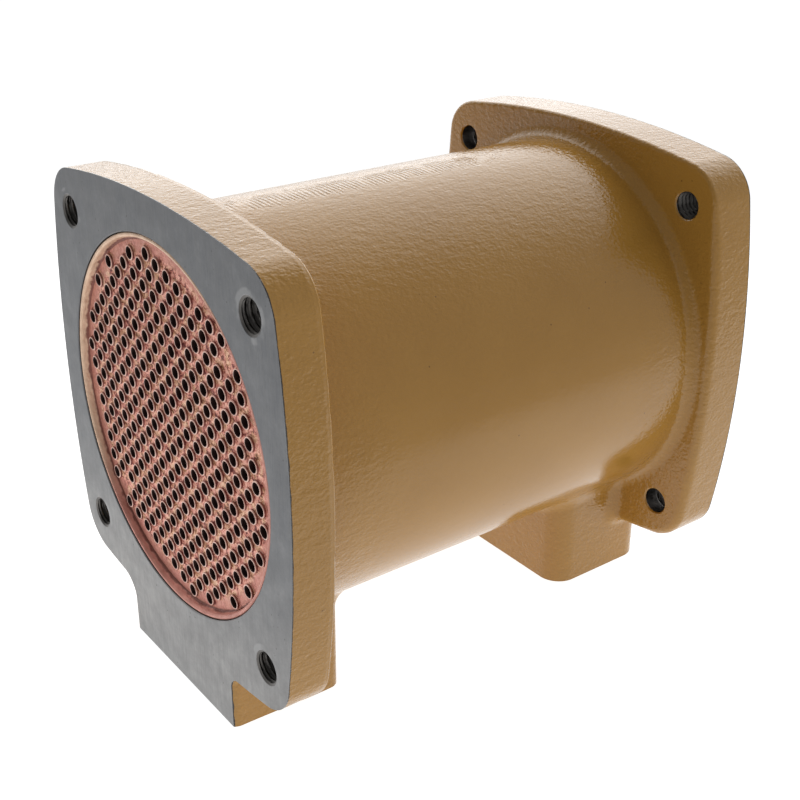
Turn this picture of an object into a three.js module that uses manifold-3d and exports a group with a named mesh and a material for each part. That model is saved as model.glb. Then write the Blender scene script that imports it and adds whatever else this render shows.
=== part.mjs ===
// Hydraulic oil cooler: one cast housing around a soldered bundle of copper tubes.
// Millimetres, +Z up. X = 0 is the barrel axis, Y = 0 is mid-length,
// Z = 0 is the machined underside of the two port pads.
// Water runs through the tubes along Y; oil comes in and goes out through the ports in the pads.
import * as THREE from 'three';
import { mergeVertices } from 'three/addons/utils/BufferGeometryUtils.js';
import Module from 'manifold-3d';

const wasm = await Module();
wasm.setup();

// Housing
const LENGTH = 182;
const FRONT = -LENGTH / 2;
const REAR = LENGTH / 2;
const AXIS_HEIGHT = 92.5;
const BORE_RADIUS = 61.3;
const BARREL_RADIUS = 65.8;
const BARREL_FILLET = 4.4;
const ROUND_STEPS = 48;

// Flanges: four slightly bulged sides joined by tangent corners
const FLANGE_HALF_WIDTH = 72.3;
const FLANGE_HALF_HEIGHT = 74.1;
const FLANGE_SIDE_RADIUS = 350;
const FLANGE_CORNER_RADIUS = 15;
const FRONT_FLANGE_THICKNESS = 14.4;
const REAR_FLANGE_THICKNESS = 17;
const FRONT_EDGE_ROUNDING = 0.8;
const REAR_EDGE_ROUNDING = 2.8;
const SIDE_STEPS = 3;
const CORNER_STEPS = 4;

// Tapped holes, 7/16-14 UNC, on a 111 mm square
const HOLE_OFFSET = 55.5;
const TAP_DRILL_RADIUS = 4.7;
const HOLE_MOUTH_RADIUS = 5.8;
const HOLE_MOUTH_DEPTH = 0.55;
const HOLE_STEPS = 12;

// Port pads under each end
const PAD_TOP = 45;
const FRONT_PAD = { faceHalfWidth: 32.7, castHalfWidth: 34, backHalfWidth: 35.2, length: 40, corner: 5.5 };
const REAR_PAD = { halfWidth: 35.8, length: 44.6, corner: 8.5 };
const FRONT_NOTCH_FILLETS = { left: 7, right: 4 };
const REAR_NOTCH_FILLETS = { left: 6, right: 6 };
const PORT_OFFSET = 68;
const PORT_RADIUS = 11;
const PORT_BOLT_OFFSET = 23;
const PORT_BOLT_RADIUS = 4.25;
const PORT_BOLT_DEPTH = 16;

// Tube bundle: a triangular lattice turned about a line just below the barrel axis
const BUNDLE_HEIGHT = AXIS_HEIGHT - 0.35;
const PITCH = 6.45;
const ROW_SPACING = PITCH * Math.sqrt(3) / 2;
const ROW_ANGLE = THREE.MathUtils.degToRad(43.8);
const LAST_ROW = 10;
const LATTICE_LIMIT = 73;
const TIE_ROD_STEP = 8;
const TUBE_RADIUS = 2.38;
const TUBE_SIDES = 6;
const TUBE_END_DEPTH = 2;
const GAP = 0.3;

// Tube sheets: dished plates with an upturned rim
const PLATE_DEPTH = 2.8;
const PLATE_THICKNESS = 3;
const SHEET_RADIUS = BORE_RADIUS - GAP;
const SLOT_HALF_HEIGHT = 2.4;
const SOLDER_HALF_HEIGHT = SLOT_HALF_HEIGHT - GAP;
const SOLDER_MARGIN = 0.05;

// Baffles and tie rods inside the oil space
const BAFFLE_RADIUS = 60.6;
const BAFFLE_THICKNESS = 1.6;
const BAFFLE_SPACING = 21;
const BAFFLE_COUNT = 5;
const BAFFLE_LAST_ROW = 4;
const TIE_ROD_RADIUS = 2;

const PAINT = { color: 0x9a7640, roughness: 0.35, metalness: 0 };
const COPPER = { color: 0xb9765f, roughness: 0.45, metalness: 1 };
const STEEL = { color: 0x9a9c9e, roughness: 0.4, metalness: 1 };

// ---- solids ----

function toSolid(geometry) {
  const bare = new THREE.BufferGeometry();
  bare.setAttribute('position', geometry.getAttribute('position'));
  if (geometry.index) {
    bare.setIndex(geometry.index);
  }
  const merged = mergeVertices(bare, 1e-4);
  const mesh = new wasm.Mesh({
    numProp: 3,
    vertProperties: new Float32Array(merged.getAttribute('position').array),
    triVerts: new Uint32Array(merged.index.array),
  });
  return new wasm.Manifold(mesh);
}

function unite(solids) {
  return solids.reduce((total, solid) => total.add(solid));
}

function toNode(name, solid, look) {
  const mesh = solid.getMesh();
  const geometry = new THREE.BufferGeometry();
  geometry.setAttribute('position', new THREE.BufferAttribute(new Float32Array(mesh.vertProperties), 3));
  geometry.setIndex(new THREE.BufferAttribute(new Uint32Array(mesh.triVerts), 1));
  geometry.computeVertexNormals();
  const node = new THREE.Mesh(geometry, new THREE.MeshStandardMaterial(look));
  node.name = name;
  return node;
}

function box(x0, x1, y0, y1, z0, z1) {
  const geometry = new THREE.BoxGeometry(x1 - x0, y1 - y0, z1 - z0);
  geometry.translate((x0 + x1) / 2, (y0 + y1) / 2, (z0 + z1) / 2);
  return toSolid(geometry);
}

// A closed profile of [radius, y] pairs turned about the barrel axis.
function turned(profile) {
  const points = profile.map(([radius, y]) => new THREE.Vector2(radius, y));
  const geometry = new THREE.LatheGeometry(points, ROUND_STEPS);
  return toSolid(geometry);
}

function roundAlongY(radiusAtFront, radiusAtBack, y0, y1, steps) {
  const geometry = new THREE.CylinderGeometry(radiusAtBack, radiusAtFront, y1 - y0, steps);
  geometry.translate(0, (y0 + y1) / 2, 0);
  return geometry;
}

// An outline of [x, z] points, extruded along Y from y0 to y1.
function extrudedAlongY(outline, y0, y1, bevel = 0) {
  const shape = new THREE.Shape(outline.map(([x, z]) => new THREE.Vector2(x, z)));
  const geometry = new THREE.ExtrudeGeometry(shape, {
    depth: y1 - y0 - 2 * bevel,
    bevelEnabled: bevel > 0,
    bevelThickness: bevel,
    bevelSize: bevel,
    bevelOffset: -bevel,
    bevelSegments: 2,
  });
  geometry.rotateX(Math.PI / 2);
  geometry.translate(0, y1 - bevel, 0);
  return toSolid(geometry);
}

// An outline of [x, y] points, extruded up from z0 to z1.
function extrudedUp(outline, z0, z1) {
  const shape = new THREE.Shape(outline.map(([x, y]) => new THREE.Vector2(x, y)));
  const geometry = new THREE.ExtrudeGeometry(shape, { depth: z1 - z0, bevelEnabled: false });
  geometry.translate(0, 0, z0);
  return toSolid(geometry);
}

function arc(cx, cy, radius, from, to, steps) {
  const points = [];
  for (let k = 0; k <= steps; k += 1) {
    const angle = from + (to - from) * k / steps;
    points.push([cx + radius * Math.cos(angle), cy + radius * Math.sin(angle)]);
  }
  return points;
}

// ---- housing ----

// The flange outline about the barrel axis: a side arc, a corner arc and a top arc,
// mirrored into all four quarters.
function flangeOutline() {
  const sideX = FLANGE_HALF_WIDTH - FLANGE_SIDE_RADIUS;
  const topZ = FLANGE_HALF_HEIGHT - FLANGE_SIDE_RADIUS;
  const reach = FLANGE_SIDE_RADIUS - FLANGE_CORNER_RADIUS;
  const span = Math.hypot(sideX, topZ);
  const rise = Math.sqrt(reach * reach - span * span / 4);
  const cornerX = sideX / 2 - rise * topZ / span;
  const cornerZ = topZ / 2 - rise * sideX / span;
  const sideEnd = Math.atan2(cornerZ, cornerX - sideX);
  const topEnd = Math.atan2(cornerZ - topZ, cornerX);
  const quarter = [
    ...arc(sideX, 0, FLANGE_SIDE_RADIUS, 0, sideEnd, SIDE_STEPS),
    ...arc(cornerX, cornerZ, FLANGE_CORNER_RADIUS, sideEnd, topEnd, CORNER_STEPS).slice(1),
    ...arc(0, topZ, FLANGE_SIDE_RADIUS, topEnd, Math.PI / 2, SIDE_STEPS).slice(1),
  ];
  const upper = [...quarter, ...quarter.slice(0, -1).reverse().map(([x, z]) => [-x, z])];
  const lower = upper.slice(1, -1).reverse().map(([x, z]) => [x, -z]);
  return [...upper, ...lower].map(([x, z]) => [x, z + AXIS_HEIGHT]);
}

// The machined side is cut off flat, which leaves its edge sharp; the other side keeps its rounded cast edge.
function flange(y0, y1, rounding, machinedFront) {
  const spare = rounding + 1;
  const start = machinedFront ? y0 - spare : y0;
  const end = machinedFront ? y1 : y1 + spare;
  const blank = extrudedAlongY(flangeOutline(), start, end, rounding);
  return blank.intersect(box(-200, 200, y0, y1, -200, 300));
}

function barrel() {
  const frontFace = FRONT + FRONT_FLANGE_THICKNESS;
  const rearFace = REAR - REAR_FLANGE_THICKNESS;
  const filletRadius = BARREL_RADIUS + BARREL_FILLET;
  const half = Math.PI / 2;
  const profile = [
    [0, frontFace - 4],
    [filletRadius, frontFace - 4],
    ...arc(filletRadius, frontFace + BARREL_FILLET, BARREL_FILLET, -half, -Math.PI, 4),
    ...arc(filletRadius, rearFace - BARREL_FILLET, BARREL_FILLET, Math.PI, half, 4),
    [filletRadius, rearFace + 4],
    [0, rearFace + 4],
  ];
  return turned(profile).translate([0, 0, AXIS_HEIGHT]);
}

function frontPad() {
  const { faceHalfWidth, castHalfWidth, backHalfWidth, length, corner } = FRONT_PAD;
  const back = FRONT + length;
  const right = [
    [faceHalfWidth, FRONT],
    [castHalfWidth, FRONT + 1.7],
    ...arc(backHalfWidth - corner, back - corner, corner, 0, Math.PI / 2, 4),
  ];
  const left = right.slice().reverse().map(([x, y]) => [-x, y]);
  return extrudedUp([...right, ...left], 0, PAD_TOP);
}

function rearPad() {
  const { halfWidth, length, corner } = REAR_PAD;
  const front = REAR - length;
  const right = [
    ...arc(halfWidth - corner, front + corner, corner, -Math.PI / 2, 0, 4),
    ...arc(halfWidth - corner, REAR - corner, corner, 0, Math.PI / 2, 4),
  ];
  const left = right.slice().reverse().map(([x, y]) => [-x, y]);
  return extrudedUp([...right, ...left], 0, PAD_TOP);
}

// The concave web in the corner between a flange's lower edge and a pad's side.
function notchFillet(side, padHalfWidth, radius, y0, y1) {
  const middle = padHalfWidth + radius / 2;
  const drop = Math.sqrt(FLANGE_SIDE_RADIUS ** 2 - middle ** 2) - FLANGE_SIDE_RADIUS;
  const edge = AXIS_HEIGHT - FLANGE_HALF_HEIGHT - drop;
  const curve = arc(padHalfWidth + radius, edge - radius, radius, Math.PI, Math.PI / 2, 4);
  const outline = [
    ...curve,
    [padHalfWidth + radius, edge + 3],
    [padHalfWidth - 1, edge + 3],
    [padHalfWidth - 1, edge - radius],
  ];
  const mirrored = side < 0 ? outline.map(([x, z]) => [-x, z]) : outline.reverse();
  return extrudedAlongY(mirrored, y0, y1);
}

// A tap-drill hole right through a flange, widened to a cone at its machined mouth.
function tappedHole(y0, y1, machinedFront) {
  const drill = toSolid(roundAlongY(TAP_DRILL_RADIUS, TAP_DRILL_RADIUS, y0 - 2, y1 + 2, HOLE_STEPS));
  const wide = HOLE_MOUTH_RADIUS + (HOLE_MOUTH_RADIUS - TAP_DRILL_RADIUS) / HOLE_MOUTH_DEPTH;
  const cone = machinedFront
    ? toSolid(roundAlongY(wide, TAP_DRILL_RADIUS, y0 - 1, y0 + HOLE_MOUTH_DEPTH, HOLE_STEPS))
    : toSolid(roundAlongY(TAP_DRILL_RADIUS, wide, y1 - HOLE_MOUTH_DEPTH, y1 + 1, HOLE_STEPS));
  return drill.add(cone);
}

function holeSet(y0, y1, machinedFront) {
  const holes = [];
  for (const x of [-HOLE_OFFSET, HOLE_OFFSET]) {
    for (const z of [-HOLE_OFFSET, HOLE_OFFSET]) {
      holes.push(tappedHole(y0, y1, machinedFront).translate([x, 0, AXIS_HEIGHT + z]));
    }
  }
  return unite(holes);
}

// The oil way up into the bore, with a blind tapped hole on each side of it.
function portCut(y) {
  const way = new THREE.CylinderGeometry(PORT_RADIUS, PORT_RADIUS, PAD_TOP, 20);
  way.rotateX(Math.PI / 2);
  way.translate(0, y, PAD_TOP / 2 - 2);
  const cuts = [toSolid(way)];
  const height = PORT_BOLT_DEPTH * 2;
  for (const x of [-PORT_BOLT_OFFSET, PORT_BOLT_OFFSET]) {
    const bolt = new THREE.CylinderGeometry(PORT_BOLT_RADIUS, PORT_BOLT_RADIUS, height, HOLE_STEPS);
    bolt.rotateX(Math.PI / 2);
    bolt.translate(x, y, 0);
    cuts.push(toSolid(bolt));
  }
  return unite(cuts);
}

function housing() {
  const frontBack = FRONT + FRONT_FLANGE_THICKNESS;
  const rearFront = REAR - REAR_FLANGE_THICKNESS;
  const body = unite([
    barrel(),
    flange(FRONT, frontBack, FRONT_EDGE_ROUNDING, true),
    flange(rearFront, REAR, REAR_EDGE_ROUNDING, false),
    frontPad(),
    rearPad(),
    notchFillet(-1, FRONT_PAD.faceHalfWidth, FRONT_NOTCH_FILLETS.left, FRONT, frontBack - 1),
    notchFillet(1, FRONT_PAD.faceHalfWidth, FRONT_NOTCH_FILLETS.right, FRONT, frontBack - 1),
    notchFillet(-1, REAR_PAD.halfWidth - 0.5, REAR_NOTCH_FILLETS.left, rearFront + 2.5, REAR - 6),
    notchFillet(1, REAR_PAD.halfWidth - 0.5, REAR_NOTCH_FILLETS.right, rearFront + 2.5, REAR - 6),
  ]);
  const bore = toSolid(roundAlongY(BORE_RADIUS, BORE_RADIUS, FRONT - 5, REAR + 5, ROUND_STEPS));
  return body
    .subtract(bore.translate([0, 0, AXIS_HEIGHT]))
    .subtract(holeSet(FRONT, frontBack, true))
    .subtract(holeSet(rearFront, REAR, false))
    .subtract(portCut(-PORT_OFFSET))
    .subtract(portCut(PORT_OFFSET));
}

// ---- tube bundle, built square to its rows, then turned ----

function turnBundle(solid) {
  return solid.rotate([0, -THREE.MathUtils.radToDeg(ROW_ANGLE), 0]).translate([0, 0, BUNDLE_HEIGHT]);
}

// The steps along one row that hold a tube. The lattice stops at a round limit, two places hold
// the tie rods, and the outermost row on each side has one tube on each side of its middle.
function stepsInRow(row) {
  if (Math.abs(row) === LAST_ROW) {
    return [-row / 2 - 1, -row / 2 + 1];
  }
  const steps = [];
  for (let step = -LAST_ROW; step <= LAST_ROW; step += 1) {
    const insideLimit = row * row + row * step + step * step <= LATTICE_LIMIT;
    const holdsRod = row === 0 && Math.abs(step) === TIE_ROD_STEP;
    if (insideLimit && !holdsRod) {
      steps.push(step);
    }
  }
  return steps;
}

function tubeX(row, step) {
  return (step + row / 2) * PITCH;
}

function rowZ(row) {
  return -row * ROW_SPACING;
}

function rowEnds(row) {
  const steps = stepsInRow(row);
  return [tubeX(row, steps[0]), tubeX(row, steps[steps.length - 1])];
}

// A six-sided bar along Y with two of its corners along the row.
function hexagonAlongY(radius, x, z, y0, y1) {
  const length = y1 - y0;
  const bar = new THREE.CylinderGeometry(radius, radius, length, TUBE_SIDES, 1, false, Math.PI / 2);
  bar.translate(x, (y0 + y1) / 2, z);
  return toSolid(bar);
}

// One row of tubes, joined at the rear by the solder that fills its slot in the rear tube sheet.
function tubeRow(row) {
  const front = FRONT + TUBE_END_DEPTH;
  const rear = REAR - TUBE_END_DEPTH;
  const solderFront = REAR - PLATE_DEPTH - PLATE_THICKNESS;
  const [x0, x1] = rowEnds(row);
  const z = rowZ(row);
  const end = TUBE_RADIUS + SOLDER_MARGIN;
  const solder = box(x0 - end, x1 + end, solderFront, rear, z - SOLDER_HALF_HEIGHT, z + SOLDER_HALF_HEIGHT);
  const tubeEnd = solderFront + 1;
  const tubes = stepsInRow(row).map((step) => {
    return hexagonAlongY(TUBE_RADIUS, tubeX(row, step), z, front, tubeEnd);
  });
  return turnBundle(unite([solder, ...tubes]));
}

function rowSlot(row, y0, y1) {
  const [x0, x1] = rowEnds(row);
  const end = TUBE_RADIUS + SOLDER_MARGIN + GAP;
  const z = rowZ(row);
  return box(x0 - end, x1 + end, y0 - 1, y1 + 1, z - SLOT_HALF_HEIGHT, z + SLOT_HALF_HEIGHT);
}

// One row's holes in the front tube sheet, one to a tube.
function rowHoles(row, y0, y1) {
  const radius = TUBE_RADIUS + GAP / Math.cos(Math.PI / TUBE_SIDES);
  return unite(stepsInRow(row).map((step) => hexagonAlongY(radius, tubeX(row, step), rowZ(row), y0, y1)));
}

function tubeSheet(outward) {
  const face = outward < 0 ? FRONT : REAR;
  const back = face - outward * 8;
  const profile = [
    [0, PLATE_DEPTH],
    [58.9, PLATE_DEPTH],
    [59.4, 2.2],
    [59.6, 0.9],
    [60.3, 0.5],
    [SHEET_RADIUS, 1.1],
    [SHEET_RADIUS, 4.8],
    [60, PLATE_DEPTH + PLATE_THICKNESS],
    [0, PLATE_DEPTH + PLATE_THICKNESS],
  ].map(([radius, depth]) => [radius, face - outward * depth]);
  const ordered = outward < 0 ? profile : profile.reverse();
  const cutRow = outward < 0 ? rowHoles : rowSlot;
  const cuts = [];
  for (let row = -LAST_ROW; row <= LAST_ROW; row += 1) {
    cuts.push(cutRow(row, Math.min(face, back), Math.max(face, back)));
  }
  const plate = turned(ordered).translate([0, 0, AXIS_HEIGHT]);
  return plate.subtract(turnBundle(unite(cuts)));
}

// A segmental baffle: it covers the bundle up to the fourth row past the middle and leaves the rest open.
function baffle(index) {
  const y = (index - (BAFFLE_COUNT - 1) / 2) * BAFFLE_SPACING;
  const side = index % 2 === 0 ? 1 : -1;
  const y0 = y - BAFFLE_THICKNESS / 2;
  const y1 = y + BAFFLE_THICKNESS / 2;
  const edge = -rowZ(BAFFLE_LAST_ROW) + SLOT_HALF_HEIGHT + 0.8;
  const kept = side > 0 ? box(-80, 80, y0, y1, -80, edge) : box(-80, 80, y0, y1, -edge, 80);
  const cuts = [];
  for (let row = -LAST_ROW; row <= LAST_ROW; row += 1) {
    if (rowZ(row) * side < edge) {
      cuts.push(rowSlot(row, y0, y1));
    }
  }
  for (const step of [-TIE_ROD_STEP, TIE_ROD_STEP]) {
    const hole = toSolid(roundAlongY(TIE_ROD_RADIUS + GAP, TIE_ROD_RADIUS + GAP, y0 - 1, y1 + 1, HOLE_STEPS));
    cuts.push(hole.translate([step * PITCH, 0, 0]));
  }
  return toSolid(roundAlongY(BAFFLE_RADIUS, BAFFLE_RADIUS, y0, y1, ROUND_STEPS))
    .translate([0, 0, AXIS_HEIGHT])
    .intersect(turnBundle(kept))
    .subtract(turnBundle(unite(cuts)));
}

function tieRod(step) {
  const inset = PLATE_DEPTH + PLATE_THICKNESS + GAP;
  const rod = toSolid(roundAlongY(TIE_ROD_RADIUS, TIE_ROD_RADIUS, FRONT + inset, REAR - inset, HOLE_STEPS));
  return turnBundle(rod.translate([step * PITCH, 0, 0]));
}

// ---- assembly ----

function twoDigits(number) {
  return String(number).padStart(2, '0');
}

const cooler = new THREE.Group();
cooler.name = 'hydraulic_oil_cooler';
cooler.add(toNode('housing', housing(), PAINT));
cooler.add(toNode('tube_sheet_front', tubeSheet(-1), COPPER));
cooler.add(toNode('tube_sheet_rear', tubeSheet(1), COPPER));
for (let row = -LAST_ROW; row <= LAST_ROW; row += 1) {
  cooler.add(toNode(`tube_row_${twoDigits(row + LAST_ROW + 1)}`, tubeRow(row), COPPER));
}
for (let index = 0; index < BAFFLE_COUNT; index += 1) {
  cooler.add(toNode(`baffle_${index + 1}`, baffle(index), STEEL));
}
cooler.add(toNode('tie_rod_upper', tieRod(TIE_ROD_STEP), STEEL));
cooler.add(toNode('tie_rod_lower', tieRod(-TIE_ROD_STEP), STEEL));

export default cooler;
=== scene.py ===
import math

import bmesh
import bpy
import numpy as np
import openvdb
from mathutils import Matrix, Vector


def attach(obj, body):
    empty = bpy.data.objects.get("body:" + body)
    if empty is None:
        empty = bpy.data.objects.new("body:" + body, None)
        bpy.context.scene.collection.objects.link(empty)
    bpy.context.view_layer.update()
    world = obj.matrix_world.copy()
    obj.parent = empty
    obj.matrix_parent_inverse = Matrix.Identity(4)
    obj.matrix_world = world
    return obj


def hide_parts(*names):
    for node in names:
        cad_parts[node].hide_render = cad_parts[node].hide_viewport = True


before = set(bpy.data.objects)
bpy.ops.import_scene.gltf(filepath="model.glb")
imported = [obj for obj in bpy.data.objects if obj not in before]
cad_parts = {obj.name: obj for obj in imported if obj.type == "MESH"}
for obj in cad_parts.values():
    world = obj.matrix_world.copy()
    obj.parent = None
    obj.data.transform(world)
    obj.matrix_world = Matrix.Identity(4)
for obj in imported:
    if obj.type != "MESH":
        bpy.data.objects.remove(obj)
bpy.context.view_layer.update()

# Lengths are in millimetres unless a comment says otherwise, in the row frame: X across, Y along the
# barrel, Z up from the port pads.
MM = 0.001
FRONT, REAR = -91.0, 91.0
AXIS_Z = 92.5
BORE_RADIUS = 61.3
BARREL_RADIUS = 65.8
BARREL_HALF_LENGTH = 88.0

FLANGE_HALF_WIDTH = 72.3
FLANGE_HALF_HEIGHT = 74.1
FLANGE_SIDE_RADIUS = 350.0
FLANGE_CORNER_RADIUS = 15.0
FRONT_FLANGE_BACK = FRONT + 14.4
REAR_FLANGE_FRONT = REAR - 17.0
FRONT_EDGE_ROUNDING = 0.8
REAR_EDGE_ROUNDING = 2.8
REAR_TOP_ROUNDING = 1.0
BARREL_FILLET = 4.4
PAD_FILLET = 5.0

HOLE_OFFSET = 55.5
THREAD_MINOR = 4.72
PAINTED_MOUTH = 4.55
THREAD_MAJOR = 5.5
THREAD_PITCH = 1.814
HOLE_MOUTH = 5.8
PLAIN_BORE = 6.0
PAINTED_CHAMFER = 5.15
BORE_CHAMFER = 0.3

PAD_TOP = 50.0
PAD_EDGE_ROUNDING = 0.5
FRONT_PAD_HALF_WIDTH = 34.0
FRONT_PAD_WIDENING = 1.2
FRONT_PAD_LENGTH = 40.0
FRONT_PAD_CORNER = 4.0
REAR_PAD_HALF_WIDTH = 35.8
REAR_PAD_LENGTH = 44.6
REAR_PAD_CORNER = 8.5
PORT_Y = 68.0
PORT_RADIUS = 11.0
PORT_DEPTH = 38.0
PORT_BOLT_X = 23.0
PORT_BOLT_RADIUS = 4.2
PORT_BOLT_MOUTH = 5.0
PORT_BOLT_DEPTH = 16.0

PITCH = 6.45
LATTICE_DROP = 0.35
ROW_SPACING = PITCH * math.sqrt(3) / 2
ROW_ANGLE = math.radians(43.8)
LAST_ROW = 10
LATTICE_LIMIT = 73
TIE_ROD_STEP = 8
TIE_ROD_RADIUS = 2.0
TIE_ROD_HOLE = 2.15
TUBE_RADIUS = 2.32
TUBE_BORE = 1.88
TUBE_END_DEPTH = 1.95
PLATE_DEPTH = 2.8
PLATE_THICKNESS = 3.0
SHEET_RADIUS = 61.12

BAFFLE_COUNT = 5
BAFFLE_SPACING = 21.0
BAFFLE_RADIUS = 60.6
BAFFLE_THICKNESS = 1.6
BAFFLE_LAST_ROW = 4
BAFFLE_EDGE_MARGIN = 3.2

# The grid on which the casting's distance is sampled, a little larger than the casting.
VOXEL = 1.0
GRID_LOW = (-78.0, -97.0, -6.0)
GRID_HIGH = (78.0, 97.0, 172.0)
GRID_REACH = 3.0
# The housing's material slots.
PAINTED, MACHINED, BORED, TAPPED = range(4)
# Anything nearer to a surface than this lies on it.
HAIR = 0.02

# The camera looks down at the front and the right side; its angles are in degrees.
CAMERA_AZIMUTH = 52.872
CAMERA_ELEVATION = 25.625
CAMERA_ROLL = -0.465
CAMERA_PLACE = (318.9, -242.0, 269.1)
CAMERA_LENS = 57.02
CAMERA_FRAME = 36.0

# The studio: a dim white room with brighter walls, each given by its direction and strength.
ROOM = 0.23
WALLS = (
    ((-0.78, 0.59, 0.20), 2.0),
    ((0.59, 0.78, 0.20), 0.36),
)
# The table has a light of its own, strongest around the object and dim on the camera's side.
FLOOR = 12000.0
TABLE_DIM = 0.3
TABLE_AROUND = 0.95
TABLE_FAR = 0.62
TOWARDS_CAMERA = (0.797, -0.603)


# ---------------------------------------------------------------- camera


def add_camera():
    azimuth = math.radians(CAMERA_AZIMUTH)
    elevation = math.radians(CAMERA_ELEVATION)
    roll = math.radians(CAMERA_ROLL)
    level = math.cos(elevation)
    back = Vector((math.sin(azimuth) * level, -math.cos(azimuth) * level, math.sin(elevation)))
    right = Vector((0, 0, 1)).cross(back).normalized()
    up = back.cross(right)
    turned_right = right * math.cos(roll) - up * math.sin(roll)
    turned_up = right * math.sin(roll) + up * math.cos(roll)
    data = bpy.data.cameras.new("camera")
    data.lens = CAMERA_LENS
    data.sensor_width = CAMERA_FRAME
    camera = bpy.data.objects.new("camera", data)
    bpy.context.scene.collection.objects.link(camera)
    rotation = Matrix((turned_right, turned_up, back)).transposed().to_4x4()
    camera.matrix_world = Matrix.Translation(Vector(CAMERA_PLACE) * MM) @ rotation
    bpy.context.scene.camera = camera


# ---------------------------------------------------------------- meshes


def new_object(name, points, faces, smooth=True):
    """points in millimetres become a mesh object in metres."""
    mesh = bpy.data.meshes.new(name)
    mesh.from_pydata((np.asarray(points) * MM).tolist(), [], [list(f) for f in faces])
    mesh.polygons.foreach_set("use_smooth", [smooth] * len(mesh.polygons))
    mesh.update()
    obj = bpy.data.objects.new(name, mesh)
    bpy.context.scene.collection.objects.link(obj)
    return obj


def grid_faces(rows, columns, closed_rows, closed_columns, start=0):
    """Quads between neighbouring points of a rows by columns grid."""
    r = np.arange(rows if closed_rows else rows - 1)
    c = np.arange(columns if closed_columns else columns - 1)
    r, c = np.meshgrid(r, c, indexing="ij")
    r2, c2 = (r + 1) % rows, (c + 1) % columns
    quads = np.stack([r * columns + c, r * columns + c2, r2 * columns + c2, r2 * columns + c], -1)
    return quads.reshape(-1, 4) + start


def turned_ring(profile, steps, centre=(0.0, 0.0), start=0):
    """Points and faces of a closed profile of (radius, y) pairs turned about a line along Y."""
    profile = np.asarray(profile, float)
    angle = np.linspace(0, 2 * math.pi, steps, endpoint=False)
    x = centre[0] + profile[:, :1] * np.cos(angle)
    z = centre[1] + profile[:, :1] * np.sin(angle)
    y = np.repeat(profile[:, 1:], steps, axis=1)
    points = np.stack([x, y, z], -1).reshape(-1, 3)
    return points, grid_faces(len(profile), steps, True, True, start)


def rod_mesh(radii, ys, steps, centre, start=0):
    """A closed rod along Y with flat ends; radii may be one row of values per y."""
    angle = np.linspace(0, 2 * math.pi, steps, endpoint=False)
    radii = np.broadcast_to(np.asarray(radii, float).reshape(len(ys), -1), (len(ys), steps))
    x = centre[0] + radii * np.cos(angle)
    z = centre[1] + radii * np.sin(angle)
    y = np.repeat(np.asarray(ys, float)[:, None], steps, axis=1)
    points = np.stack([x, y, z], -1).reshape(-1, 3)
    faces = [tuple(f) for f in grid_faces(len(ys), steps, False, True, start)]
    faces.append(tuple(start + k for k in reversed(range(steps))))
    faces.append(tuple(start + (len(ys) - 1) * steps + k for k in range(steps)))
    return points, faces


def join(parts):
    """Several (points, faces) made with start=0 as one."""
    points, faces, start = [], [], 0
    for part_points, part_faces in parts:
        points.append(part_points)
        faces.extend([tuple(int(i) + start for i in face) for face in part_faces])
        start += len(part_points)
    return np.concatenate(points), faces


def box_mesh(low, high):
    x, y, z = zip(low, high)
    points = np.array([(a, b, c) for a in x for b in y for c in z], float)
    faces = [(0, 1, 3, 2), (4, 6, 7, 5), (0, 4, 5, 1), (2, 3, 7, 6), (0, 2, 6, 4), (1, 5, 7, 3)]
    return points, faces


def upright(points):
    """Turns points made about a line along Y into points about a line along Z."""
    return np.stack([points[:, 0], points[:, 2], points[:, 1]], -1)


def outward(obj):
    """Makes every face of a closed mesh point out."""
    work = bmesh.new()
    work.from_mesh(obj.data)
    bmesh.ops.recalc_face_normals(work, faces=work.faces)
    work.to_mesh(obj.data)
    work.free()


def cut(obj, cutter_parts):
    """Takes the closed meshes in cutter_parts away from obj."""
    cutter = new_object("cutter", *join(cutter_parts))
    outward(cutter)
    modifier = obj.modifiers.new("cut", "BOOLEAN")
    modifier.operation = "DIFFERENCE"
    modifier.solver = "MANIFOLD"
    modifier.object = cutter
    evaluated = obj.evaluated_get(bpy.context.evaluated_depsgraph_get())
    mesh = bpy.data.meshes.new_from_object(evaluated)
    obj.modifiers.remove(modifier)
    old = obj.data
    obj.data = mesh
    bpy.data.meshes.remove(old)
    bpy.data.objects.remove(cutter)


def place(obj, node_names, materials):
    """Gives a piece its materials and says which CAD nodes it stands for."""
    obj.data.materials.clear()
    for material in materials:
        obj.data.materials.append(material)
    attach(obj, "root")
    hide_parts(*node_names)


# ---------------------------------------------------------------- housing shape


def flange_corner():
    """Centre of the upper right corner circle and the angles where it meets the side and the top arc."""
    side_x = FLANGE_HALF_WIDTH - FLANGE_SIDE_RADIUS
    top_z = FLANGE_HALF_HEIGHT - FLANGE_SIDE_RADIUS
    reach = FLANGE_SIDE_RADIUS - FLANGE_CORNER_RADIUS
    span = math.hypot(side_x, top_z)
    rise = math.sqrt(reach**2 - span**2 / 4)
    x = side_x / 2 - rise * top_z / span
    z = top_z / 2 - rise * side_x / span
    return x, z, math.atan2(z, x - side_x), math.atan2(z - top_z, x)


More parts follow.
